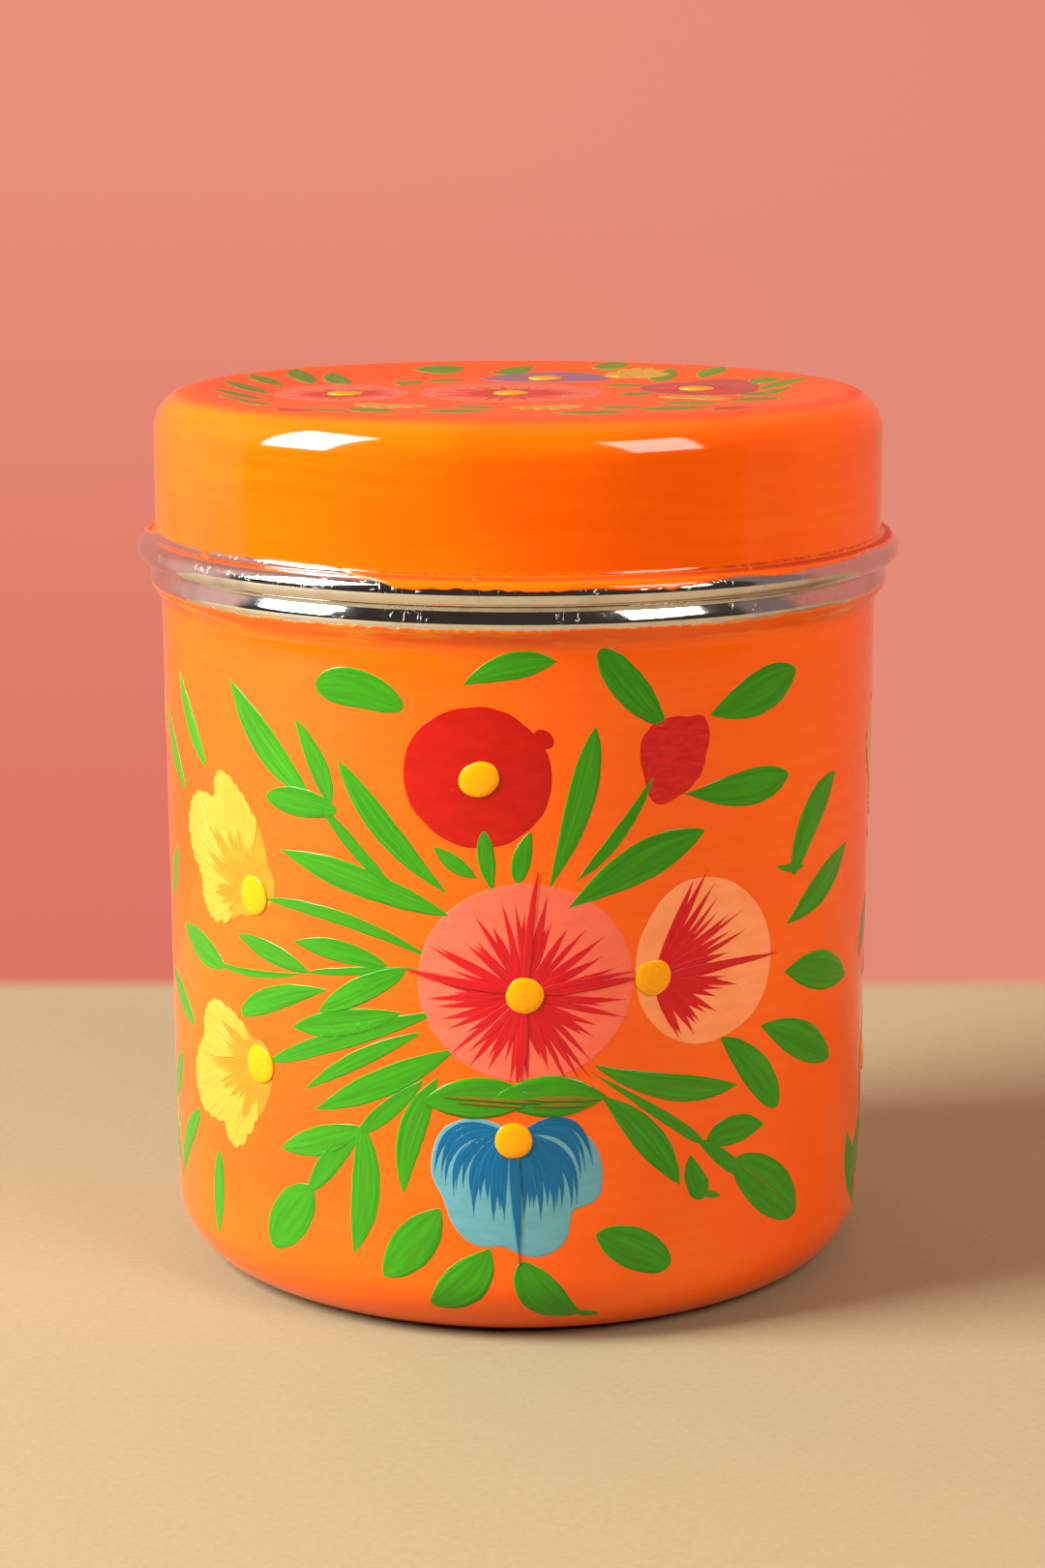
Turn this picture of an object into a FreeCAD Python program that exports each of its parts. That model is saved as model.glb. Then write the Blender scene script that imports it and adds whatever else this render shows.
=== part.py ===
"""Round stainless-steel food canister with a slip-over lid and a coat of orange enamel paint.

Both steel pieces are drawn from one sheet each, so each is a strip of constant thickness turned about
the Z axis. The strip follows a path along the sheet's outer face, made of straight runs and tangent
bends. A paint coat is a thinner strip on the outside of a stretch of the same path.
Units are millimetres. The origin is the centre of the base, on the surface that the canister stands on.
"""

import math
import os

import FreeCAD, Part

# Driving dimensions
SHEET = 0.5  # thickness of the steel
COAT = 0.15  # thickness of the paint
WALL_RADIUS = 49.75  # outside of the steel wall where it meets the bead
WALL_FLARE = 0.45  # degrees that the wall leans outwards as it rises
SEAT_HEIGHT = 99.25  # top of the bead that the lid rests on
MOUTH_HEIGHT = 117.0  # rim of the neck, inside the lid
LID_TOP = 122.3  # crest of the steel ring round the lid's top

# Canister base
PANEL_LIFT = 1.2  # how far the middle of the base is pressed up
PANEL_RADIUS = 34.0  # where the flat of the pressed-up panel ends
PANEL_BEND = 1.0
CORNER_RADIUS = 9.2
BARE_CORNER = 16.0  # degrees of the corner next to the foot that carry no paint

# Canister bead and neck
BEAD_REACH = 1.75  # how far the bead stands out from the wall
BEAD_TURN = 32.0  # degrees that the sheet turns out from the wall to start the bead
BEAD_ROOT = 3.0  # hollow between the wall and the slope under the bead
BEAD_BELLY = 1.3  # round between that slope and the bead's face
BEAD_FACE = 8.0  # the slightly rounded face of the bead
FACE_FOOT = 15.0  # degrees that the face leans in at its foot
FACE_BROW = 27.0  # degrees that the face leans in where it meets the brow
BEAD_BROW = 0.8  # the bead's upper edge
NECK_RADIUS = 49.4
NECK_ROOT = 0.5
MOUTH_ROUND = 0.2  # rounding of the trimmed rim

# Lid
LID_RADIUS = 50.45  # outside of the steel wall
SHOULDER_RADIUS = 5.35
DISH_DEPTH = 1.75  # how far the middle of the top lies below the raised ring round it
DISH_SLOPE = 12.0  # degrees that the ring's inner side slopes
DISH_BEND = 8.0  # round where that slope meets the middle
FLARE_RADIUS = 0.95  # hollow where the wall turns out to the curl
CURL_RADIUS = 1.75
CURL_TURN = 255.0  # degrees of the whole curl, which ends facing the neck
PAINTED_CURL = 60.0  # degrees of the curl that the paint laps over
SEAT_GAP = 0.15  # closest approach of the curl to the bead


def point(radius, height):
    return FreeCAD.Vector(radius, 0, height)


class SheetPath:
    """A path in the XZ half plane made of straight runs and tangent bends, all turned about Z later."""

    def __init__(self, radius, height, heading):
        self.at = (radius, height)
        self.heading = math.radians(heading)
        self.segments = []
        self.paint_from = 0
        self.paint_to = None

    def run(self, length):
        """A straight stretch of this length."""
        start = self.at
        r = start[0] + length * math.cos(self.heading)
        z = start[1] + length * math.sin(self.heading)
        self.segments.append({"points": [start, (r, z)], "headings": [self.heading] * 2})
        self.at = (r, z)

    def bend(self, radius, turn):
        """An arc that turns left by this many degrees, or right where turn is negative."""
        side = 1 if turn > 0 else -1
        begin = self.heading
        centre = (
            self.at[0] - side * radius * math.sin(begin),
            self.at[1] + side * radius * math.cos(begin),
        )
        headings = [begin + math.radians(turn) * share for share in (0, 0.5, 1)]
        points = [
            (centre[0] + side * radius * math.sin(h), centre[1] - side * radius * math.cos(h))
            for h in headings
        ]
        self.segments.append({"points": points, "headings": headings})
        self.at = points[-1]
        self.heading = headings[-1]

    def run_to_height(self, height):
        self.run((height - self.at[1]) / math.sin(self.heading))

    def run_to_radius(self, radius):
        self.run((radius - self.at[0]) / math.cos(self.heading))

    def start_paint(self):
        self.paint_from = len(self.segments)

    def stop_paint(self):
        self.paint_to = len(self.segments)

    def painted(self):
        """The segments between start_paint, or the first one, and stop_paint."""
        return self.segments[self.paint_from : self.paint_to]


def shifted(segment, offset):
    """The points of a segment moved to the left of the path by offset."""
    return [
        point(r - offset * math.sin(h), z + offset * math.cos(h))
        for (r, z), h in zip(segment["points"], segment["headings"])
    ]


def edges_along(segments, offset):
    edges = []
    for segment in segments:
        points = shifted(segment, offset)
        curve = Part.LineSegment(*points) if len(points) == 2 else Part.Arc(*points)
        edges.append(curve.toShape())
    return edges


def turned_strip(segments, offset):
    """The solid swept about Z by the strip between these segments and their copy at offset."""
    first = shifted(segments[0], offset)[0]
    last = shifted(segments[-1], offset)[-1]
    caps = [
        Part.LineSegment(point(*segments[0]["points"][0]), first).toShape(),
        Part.LineSegment(point(*segments[-1]["points"][-1]), last).toShape(),
    ]
    loop = edges_along(segments, 0) + edges_along(segments, offset) + caps
    face = Part.Face(Part.Wire(Part.__sortEdges__(loop)))
    turned = face.revolve(FreeCAD.Vector(0, 0, 0), FreeCAD.Vector(0, 0, 1), 360)
    solid = turned if turned.ShapeType == "Solid" else turned.Solids[0]
    if solid.Volume < 0:
        solid.reverse()
    return solid


def bead_face_reach():
    """How far the bead's face draws in from its widest place to the brow."""
    foot = math.radians(FACE_FOOT)
    brow = math.radians(FACE_BROW)
    return BEAD_BELLY * (1 - math.cos(foot)) + BEAD_FACE * (math.cos(foot) - math.cos(brow))


def canister_path():
    """The canister's outer face from the middle of the base, up the wall and bead, to the mouth."""
    lean = math.radians(WALL_FLARE)
    slope = math.radians(BEAD_TURN + WALL_FLARE)
    foot = math.radians(FACE_FOOT)
    brow = math.radians(FACE_BROW)
    root_out = BEAD_ROOT * (math.cos(lean) - math.cos(slope))
    root_rise = BEAD_ROOT * (math.sin(slope) - math.sin(lean))
    belly_out = BEAD_BELLY * (1 - math.cos(slope))
    belly_rise = BEAD_BELLY * (math.sin(slope) + math.sin(foot))
    face_rise = BEAD_FACE * (math.sin(brow) - math.sin(foot))
    brow_rise = BEAD_BROW * (1 - math.sin(brow))
    slope_rise = (BEAD_REACH - root_out - belly_out) / math.tan(slope)
    wall_top = SEAT_HEIGHT - brow_rise - face_rise - belly_rise - slope_rise - root_rise
    wall_foot = CORNER_RADIUS * (1 - math.sin(lean))
    foot_radius = WALL_RADIUS - (wall_top - wall_foot) * math.tan(lean)
    step = 2 * math.degrees(math.asin(math.sqrt(PANEL_LIFT / (4 * PANEL_BEND))))
    path = SheetPath(0, PANEL_LIFT, 0)
    path.run(PANEL_RADIUS)
    path.bend(PANEL_BEND, -step)
    path.bend(PANEL_BEND, step)
    path.run_to_radius(foot_radius - CORNER_RADIUS * math.cos(lean))
    path.bend(CORNER_RADIUS, BARE_CORNER)
    path.start_paint()
    path.bend(CORNER_RADIUS, 90 - WALL_FLARE - BARE_CORNER)
    path.run_to_height(wall_top)
    path.bend(BEAD_ROOT, -BEAD_TURN)
    path.run_to_radius(WALL_RADIUS + BEAD_REACH - belly_out)
    path.stop_paint()
    path.bend(BEAD_BELLY, BEAD_TURN + WALL_FLARE + FACE_FOOT)
    path.bend(BEAD_FACE, FACE_BROW - FACE_FOOT)
    path.bend(BEAD_BROW, 90 - FACE_BROW)
    path.run_to_radius(NECK_RADIUS + NECK_ROOT)
    path.bend(NECK_ROOT, -90)
    path.run_to_height(MOUTH_HEIGHT)
    return path


def curl_height():
    """Height of the curl's centre, with the curl SEAT_GAP from the bead's brow."""
    brow_radius = WALL_RADIUS + BEAD_REACH - bead_face_reach() - BEAD_BROW * math.cos(math.radians(FACE_BROW))
    out = (LID_RADIUS + FLARE_RADIUS) - brow_radius
    reach = CURL_RADIUS + BEAD_BROW + SEAT_GAP
    return SEAT_HEIGHT - BEAD_BROW + math.sqrt(reach**2 - out**2)


def lid_path():
    """The lid's outer face from the middle of its dished top, down the wall, out and round the curl."""
    slope = math.radians(DISH_SLOPE)
    bends = SHOULDER_RADIUS + DISH_BEND
    ramp = (DISH_DEPTH - bends * (1 - math.cos(slope))) / math.tan(slope)
    dish_radius = LID_RADIUS - SHOULDER_RADIUS - bends * math.sin(slope) - ramp
    path = SheetPath(0, LID_TOP - DISH_DEPTH, 0)
    path.run(dish_radius)
    path.bend(DISH_BEND, DISH_SLOPE)
    path.run(ramp / math.cos(slope))
    path.bend(SHOULDER_RADIUS, -90 - DISH_SLOPE)
    path.run_to_height(curl_height() + CURL_RADIUS + FLARE_RADIUS)
    path.bend(FLARE_RADIUS, 90)
    path.bend(CURL_RADIUS, -PAINTED_CURL)
    path.stop_paint()
    path.bend(CURL_RADIUS, PAINTED_CURL - CURL_TURN)
    return path


def canister_shell(path):
    """The drawn steel canister, with its rim rounded where it was trimmed."""
    shell = turned_strip(path.segments, SHEET)
    rim = [
        edge
        for edge in shell.Edges
        if abs(edge.BoundBox.ZMin - MOUTH_HEIGHT) < 0.01 and edge.BoundBox.ZLength < 0.01
    ]
    return shell.makeFillet(MOUTH_ROUND, rim)


def canister_paint(path):
    """The coat on the canister, from the corner of the base to the slope under the bead."""
    return turned_strip(path.painted(), -COAT)


def lid_shell(path):
    """The pressed steel lid with its curled edge."""
    return turned_strip(path.segments, -SHEET)


def lid_paint(path):
    """The coat on the lid, from the middle of the top to the outer side of the curl."""
    return turned_strip(path.painted(), COAT)


def main():
    canister = canister_path()
    lid = lid_path()
    nodes = {
        "canister_shell": canister_shell(canister),
        "canister_paint": canister_paint(canister),
        "lid_shell": lid_shell(lid),
        "lid_paint": lid_paint(lid),
    }
    os.makedirs("parts", exist_ok=True)
    for name, shape in nodes.items():
        shape.exportStep(f"parts/{name}.step")
        box = shape.BoundBox
        print(
            f"{name}: {len(shape.Solids)} solid, valid {shape.isValid()}, "
            f"{shape.Volume:.0f} mm3, radius {box.XMax:.2f}, z {box.ZMin:.2f} to {box.ZMax:.2f}"
        )


main()
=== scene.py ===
"""Round steel canister with a slip-over lid, coated in orange enamel and painted with flowers.

Lengths are millimetres until a mesh is made, and the frame is the CAD model's. The steel sheets and
their coats are turned again from the CAD model's own dimensions, finely enough for clean reflections
and with the uneven edges that a brush leaves. Every leaf and petal is a thin raised stroke of paint.
A place on the wall is (across, up): across runs round the wall from the front, to the right, and up
is the height along the wall. A place on the lid is (x, y) on its top, laid out flat from the centre.
"""

import bisect
import random
from math import asin, cos, degrees, exp, hypot, pi, radians, sin, sqrt, tan

import bmesh
import bpy
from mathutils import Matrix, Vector, noise


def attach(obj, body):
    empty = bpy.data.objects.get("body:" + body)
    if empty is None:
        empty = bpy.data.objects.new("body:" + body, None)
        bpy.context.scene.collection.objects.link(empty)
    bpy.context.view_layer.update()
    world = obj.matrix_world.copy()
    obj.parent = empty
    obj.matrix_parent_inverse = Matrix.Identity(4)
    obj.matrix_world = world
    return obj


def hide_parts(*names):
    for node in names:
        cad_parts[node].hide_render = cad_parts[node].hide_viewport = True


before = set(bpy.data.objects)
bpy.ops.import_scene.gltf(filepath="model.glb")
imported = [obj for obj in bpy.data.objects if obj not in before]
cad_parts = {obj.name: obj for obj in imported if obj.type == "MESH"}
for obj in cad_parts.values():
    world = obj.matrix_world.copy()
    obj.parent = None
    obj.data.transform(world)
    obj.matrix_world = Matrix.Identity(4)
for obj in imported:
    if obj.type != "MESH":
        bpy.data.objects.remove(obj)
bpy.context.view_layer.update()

MM = 0.001

# Sheet metal, as in the CAD model
SHEET = 0.5
COAT = 0.15
WALL_RADIUS = 49.75
WALL_FLARE = 0.45
SEAT_HEIGHT = 99.25
MOUTH_HEIGHT = 117.0
LID_TOP = 122.3
PANEL_LIFT = 1.2
PANEL_RADIUS = 34.0
PANEL_BEND = 1.0
CORNER_RADIUS = 9.2
BARE_CORNER = 16.0
BEAD_REACH = 1.75
BEAD_TURN = 32.0
BEAD_ROOT = 3.0
BEAD_BELLY = 1.3
BEAD_FACE = 8.0
FACE_FOOT = 15.0
FACE_BROW = 27.0
BEAD_BROW = 0.8
NECK_RADIUS = 49.4
NECK_ROOT = 0.5
LID_RADIUS = 50.45
SHOULDER_RADIUS = 5.35
DISH_DEPTH = 1.75
DISH_SLOPE = 12.0
DISH_BEND = 8.0
FLARE_RADIUS = 0.95
CURL_RADIUS = 1.75
CURL_TURN = 255.0
PAINTED_CURL = 60.0
SEAT_GAP = 0.15

# Fineness of the meshes
RUN_STEP = 8.0  # between samples on a straight stretch
BEND_STEP = 5.0  # degrees between samples on a bend
STEEL_COLUMNS = 360
COAT_COLUMNS = 960
BACK_ROWS = 14  # about how many samples a coat's hidden inner side has
EDGE_REACH = 6.0  # a shifted edge of a coat takes the samples within this distance along with it

# Painting
SINK = 0.014  # how far a stroke's edge reaches into the coat, so that no gap shows
LEAF_THICKNESS = 0.014
PETAL_THICKNESS = 0.022
SPIKE_THICKNESS = 0.014
SPIKE_START = 1.2  # a blossom's hair strokes start this far from the middle of its eye
DOT_THICKNESS = 0.3
LAYER = 0.0005  # each stroke lies this much above the one painted before it
LAYERS = 40  # and after this many the count starts again, so that the paint doesn't build up
WRAP_RADIUS = 50.0  # radius at which the distance across is measured

# Height of the sharp hollow where the lid's wall meets its rim; the enamel is darkened along it as painted
# shade
CREASE_HEIGHT = 103.1

# The card that the canister stands on, measured from the canister's middle
FLOOR_BACK = 142.0  # its straight back edge
FLOOR_FADE = 13.0  # depth of the soft strip in front of that edge
FLOOR_REACH = 540.0  # its radius


# ---- turned sheets


class SheetPath:
    """The outer face of a turned sheet in the radius and height plane, sampled along its length."""

    def __init__(self, radius, height, heading, outside):
        self.outside = outside  # 1 where the outer side is to the left of the path, or -1
        self.samples = [(radius, height, radians(heading))]
        self.lengths = [0.0]
        self.marks = {}

    def mark(self, name):
        self.marks[name] = self.lengths[-1]

    def add(self, radius, height, heading, length):
        self.samples.append((radius, height, heading))
        self.lengths.append(self.lengths[-1] + length)

    def run(self, length):
        """A straight stretch."""
        r, z, heading = self.samples[-1]
        count = max(1, round(length / RUN_STEP))
        for i in range(1, count + 1):
            done = length * i / count
            self.add(r + done * cos(heading), z + done * sin(heading), heading, length / count)

    def bend(self, radius, turn):
        """A tangent arc, to the left where turn is positive."""
        r, z, heading = self.samples[-1]
        side = 1 if turn > 0 else -1
        centre = (r - side * radius * sin(heading), z + side * radius * cos(heading))
        count = max(2, round(abs(turn) / BEND_STEP))
        for i in range(1, count + 1):
            h = heading + radians(turn) * i / count
            place = (centre[0] + side * radius * sin(h), centre[1] - side * radius * cos(h))
            self.add(*place, h, radius * radians(abs(turn)) / count)

    def run_to_height(self, height):
        _, z, heading = self.samples[-1]
        self.run((height - z) / sin(heading))

    def run_to_radius(self, radius):
        r, _, heading = self.samples[-1]
        self.run((radius - r) / cos(heading))

    def at(self, length, lift=0.0):
        """(radius, height) at this length along the path, moved outwards by lift."""
        i = min(max(bisect.bisect_right(self.lengths, length), 1), len(self.lengths) - 1)
        span = self.lengths[i] - self.lengths[i - 1]
        share = (length - self.lengths[i - 1]) / span
        r, z, h = (a + (b - a) * share for a, b in zip(self.samples[i - 1], self.samples[i]))
        return r - self.outside * lift * sin(h), z + self.outside * lift * cos(h)

    def face(self, lift=0.0):
        """The sampled face, moved outwards by lift, as (radius, height) points."""
        return [self.at(length, lift) for length in self.lengths]


def canister_path():
    """From the middle of the base, up the wall and the bead, to the mouth."""
    lean = radians(WALL_FLARE)
    slope = radians(BEAD_TURN + WALL_FLARE)
    foot = radians(FACE_FOOT)
    brow = radians(FACE_BROW)
    root_out = BEAD_ROOT * (cos(lean) - cos(slope))
    root_rise = BEAD_ROOT * (sin(slope) - sin(lean))
    belly_out = BEAD_BELLY * (1 - cos(slope))
    belly_rise = BEAD_BELLY * (sin(slope) + sin(foot))
    face_rise = BEAD_FACE * (sin(brow) - sin(foot))
    brow_rise = BEAD_BROW * (1 - sin(brow))
    slope_rise = (BEAD_REACH - root_out - belly_out) / tan(slope)
    wall_top = SEAT_HEIGHT - brow_rise - face_rise - belly_rise - slope_rise - root_rise
    wall_foot = CORNER_RADIUS * (1 - sin(lean))
    foot_radius = WALL_RADIUS - (wall_top - wall_foot) * tan(lean)
    step = 2 * degrees(asin(sqrt(PANEL_LIFT / (4 * PANEL_BEND))))
    path = SheetPath(0, PANEL_LIFT, 0, -1)
    path.run(PANEL_RADIUS)
    path.bend(PANEL_BEND, -step)
    path.bend(PANEL_BEND, step)
    path.run_to_radius(foot_radius - CORNER_RADIUS * cos(lean))
    path.bend(CORNER_RADIUS, BARE_CORNER)
    path.mark("paint_from")
    path.bend(CORNER_RADIUS, 90 - WALL_FLARE - BARE_CORNER)
    path.mark("wall")
    path.run_to_height(wall_top)
    path.mark("root")
    path.bend(BEAD_ROOT, -BEAD_TURN)
    path.run_to_radius(WALL_RADIUS + BEAD_REACH - belly_out)
    path.mark("paint_to")
    path.bend(BEAD_BELLY, BEAD_TURN + WALL_FLARE + FACE_FOOT)
    path.bend(BEAD_FACE, FACE_BROW - FACE_FOOT)
    path.bend(BEAD_BROW, 90 - FACE_BROW)
    path.run_to_radius(NECK_RADIUS + NECK_ROOT)
    path.bend(NECK_ROOT, -90)
    path.run_to_height(MOUTH_HEIGHT - SHEET / 2)
    return path


def curl_height():
    """Height of the curl's centre, with the curl SEAT_GAP from the bead's brow."""
    foot = radians(FACE_FOOT)
    brow = radians(FACE_BROW)
    drawn_in = BEAD_BELLY * (1 - cos(foot)) + BEAD_FACE * (cos(foot) - cos(brow))
    brow_radius = WALL_RADIUS + BEAD_REACH - drawn_in - BEAD_BROW * cos(brow)
    out = (LID_RADIUS + FLARE_RADIUS) - brow_radius
    reach = CURL_RADIUS + BEAD_BROW + SEAT_GAP
    return SEAT_HEIGHT - BEAD_BROW + sqrt(reach**2 - out**2)


def lid_path():
    """From the middle of the dished top, over its raised ring, down the wall, out and round the curl."""
    slope = radians(DISH_SLOPE)
    bends = SHOULDER_RADIUS + DISH_BEND
    ramp = (DISH_DEPTH - bends * (1 - cos(slope))) / tan(slope)
    path = SheetPath(0, LID_TOP - DISH_DEPTH, 0, 1)
    path.run(LID_RADIUS - SHOULDER_RADIUS - bends * sin(slope) - ramp)
    path.mark("dish")
    path.bend(DISH_BEND, DISH_SLOPE)
    path.run(ramp / cos(slope))
    path.mark("shoulder")
    path.bend(SHOULDER_RADIUS, -90 - DISH_SLOPE)
    path.mark("wall")
    path.run_to_height(curl_height() + CURL_RADIUS + FLARE_RADIUS)
    path.mark("flare")
    path.bend(FLARE_RADIUS, 90)
    path.bend(CURL_RADIUS, -PAINTED_CURL)
    path.mark("paint_to")
    path.bend(CURL_RADIUS, PAINTED_CURL - CURL_TURN)
    return path


CANISTER = canister_path()
LID = lid_path()


def half_circle(start, end, away):
    """Points that round off a sheet's cut edge from start to end, bulging towards away."""
    middle = Vector((start[0] + end[0], start[1] + end[1])) / 2
    reach = Vector(start) - middle
    out = Vector(away).normalized() * reach.length
    turns = [radians(a) for a in (30, 60, 90, 120, 150)]
    return [tuple(middle + reach * cos(a) + out * sin(a)) for a in turns]


def mesh_object(name, points, faces, material):
    """A smooth-shaded object from points in millimetres."""
    mesh = bpy.data.meshes.new(name)
    mesh.from_pydata([Vector(p) * MM for p in points], [], faces)
    mesh.validate()
    shell = bmesh.new()
    shell.from_mesh(mesh)
    bmesh.ops.recalc_face_normals(shell, faces=shell.faces)
    shell.to_mesh(mesh)
    shell.free()
    mesh.polygons.foreach_set("use_smooth", [True] * len(mesh.polygons))
    mesh.materials.append(material)
    piece = bpy.data.objects.new(name, mesh)
    bpy.context.scene.collection.objects.link(piece)
    return piece


def turned(name, columns, loop_at, closed, material):
    """A solid of revolution. loop_at(angle) gives the section's (radius, height) points at that angle.
    An open section starts and ends on the axis."""
    points = []
    faces = []
    for i in range(columns):
        angle = 2 * pi * i / columns
        loop = loop_at(angle)
        points += [(r * sin(angle), -r * cos(angle), z) for r, z in (loop if closed else loop[1:-1])]
    count = len(points) // columns
    for i in range(columns):
        here = i * count
        there = (i + 1) % columns * count
        for k in range(count if closed else count - 1):
            after = (k + 1) % count
            faces.append((here + k, there + k, there + after, here + after))
    if not closed:
        for k, pole in ((0, loop[0]), (count - 1, loop[-1])):
            points.append((0, 0, pole[1]))
            ring = [i * count + k for i in range(columns)]
            for a, b in zip(ring, ring[1:] + ring[:1]):
                faces.append((len(points) - 1, b, a) if k == 0 else (len(points) - 1, a, b))
    return mesh_object(name, points, faces, material)


def steel_sheet(name, path, material):
    """The bare sheet along a path, with the cut edge at its end rounded off."""
    outer = path.face()
    inner = path.face(-SHEET)
    heading = path.samples[-1][2]
    rim = half_circle(outer[-1], inner[-1], (cos(heading), sin(heading)))
    section = outer + rim + inner[::-1]
    return turned(name, STEEL_COLUMNS, lambda angle: section, False, material)


# ---- enamel coats


def around(angle, grain, seed):
    """Smooth noise from about -1 to 1 that closes round the canister, with features about grain mm long."""
    reach = WRAP_RADIUS / grain
    return noise.noise(Vector((reach * sin(angle), reach * cos(angle), seed)))


def soft_step(low, high, value):
    share = min(max((value - low) / (high - low), 0), 1)
    return share * share * (3 - 2 * share)


def bump(angle, at, width):
    """A bump of height 1 at this many degrees to the right of the front, about width degrees wide."""
    away = (degrees(angle) - at + 180) % 360 - 180
    return exp(-((away / width) ** 2))


def canister_coat_top(angle):
    """How far the coat's upper edge lies past its usual place, in millimetres."""
    edge = 0.2 * around(angle, 9, 1.7) + 0.24 * around(angle, 1.5, 4.1) + 0.26 * around(angle, 0.6, 8.8)
    return edge - 0.25 * bump(angle, -45, 14)


def canister_coat_bottom(angle):
    return 0.9 * around(angle, 14, 3.3) + 0.25 * around(angle, 2, 6.2)


def lid_coat_edge(angle):
    """The lid's coat stops above the flare on the left, and laps over the curl at the front and right."""
    away = (degrees(angle) + 180) % 360 - 180
    bare = soft_step(-14, -30, away) * soft_step(-100, -75, away)
    bare = max(bare, 0.55 * soft_step(118, 124, away) * soft_step(152, 140, away))
    thin = 0.7 * bump(angle, 47, 9) + 0.8 * bump(angle, 32, 5) + 0.5 * bump(angle, -150, 12)
    thin += 1.1 * soft_step(48, 62, away) * soft_step(120, 100, away)
    edge = 0.45 * around(angle, 7, 2.4) + 0.22 * around(angle, 1.6, 5.9) + 0.12 * around(angle, 0.6, 9.5)
    drip = 0.9 * bump(angle, -54.5, 1.1)
    whole = LID.marks["paint_to"] - LID.marks["flare"] + 0.1
    return 0.35 + edge * (1 - 0.75 * bare) - whole * bare - thin + drip


def lip(distance):
    """Share of the coat's full thickness at this distance from its edge."""
    reach = 0.4
    share = min(max(distance / reach, 0), 1)
    return sqrt(1 - (1 - share) ** 2)


def coat_rows(start, end, stretches):
    """Lengths along a path at which a coat is sampled: finely at its edges, and else with each
    stretch's own step."""
    fine = [0, 0.04, 0.1, 0.2, 0.35, 0.55, 0.8, 1.1, 1.4, 1.75, 2.1, 2.5, 3]
    rows = {start + d for d in fine} | {end - d for d in fine}
    for low, high, step in stretches:
        count = max(1, round((high - low) / step))
        rows |= {low + (high - low) * i / count for i in range(count + 1)}
    return sorted(r for r in rows if start <= r <= end)


def coat(name, path, stretches, shift_start, shift_end, material):
    """A coat of paint on a path, from the first to the last of the stretches. Its edges are shifted by
    what the two functions give. One that starts on the axis has no first edge, and no shift_start."""
    start = stretches[0][0]
    end = stretches[-1][1]
    rows = coat_rows(start, end, stretches)
    back = rows[:: len(rows) // BACK_ROWS]
    if back[-1] != rows[-1]:
        back.append(rows[-1])
    ring = start > 0

    def section(angle):
        first = start + (shift_start(angle) if ring else 0)
        last = end + shift_end(angle)

        def moved(length):
            near_end = soft_step(end - EDGE_REACH, end, length)
            near_start = soft_step(start + EDGE_REACH, start, length)
            return length + (last - end) * near_end + (first - start) * near_start

        outer = []
        for length in map(moved, rows):
            share = lip(min(last - length, length - first) if ring else last - length)
            outer.append(path.at(length, COAT * share - SINK * (1 - share)))
        inner = [path.at(moved(length), -SINK) for length in back[::-1]]
        return outer + (inner[1:-1] if ring else inner[1:])

    return turned(name, COAT_COLUMNS, section, ring, material)


def canister_enamel(material):
    marks = CANISTER.marks
    stretches = (
        (marks["paint_from"], marks["wall"], 0.9),
        (marks["wall"], marks["root"], 6),
        (marks["root"] - 0.5, marks["paint_to"], 0.14),
    )
    shifts = (canister_coat_bottom, canister_coat_top)
    return coat("canister_enamel", CANISTER, stretches, *shifts, material)


def lid_enamel(material):
    marks = LID.marks
    stretches = (
        (0, marks["dish"], 7),
        (marks["dish"], marks["shoulder"], 1.2),
        (marks["shoulder"], marks["wall"], 0.52),
        (marks["wall"], marks["flare"], 3),
        (marks["flare"] - 0.4, marks["paint_to"], 0.15),
    )
    return coat("lid_enamel", LID, stretches, None, lid_coat_edge, material)


# ---- strokes of paint


def wall_skin(across, up, lift):
    """A point on the painted wall."""
    length = CANISTER.marks["wall"] + up - CORNER_RADIUS
    r, z = CANISTER.at(length, COAT + lift)
    angle = across / WRAP_RADIUS
    return (r * sin(angle), -r * cos(angle), z)


def lid_skin(x, y, lift):
    """A point on the painted top of the lid."""
    out = hypot(x, y)
    r, z = LID.at(out, COAT + lift)
    share = r / out if out > 0 else 1
    return (x * share, y * share, z)


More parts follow.
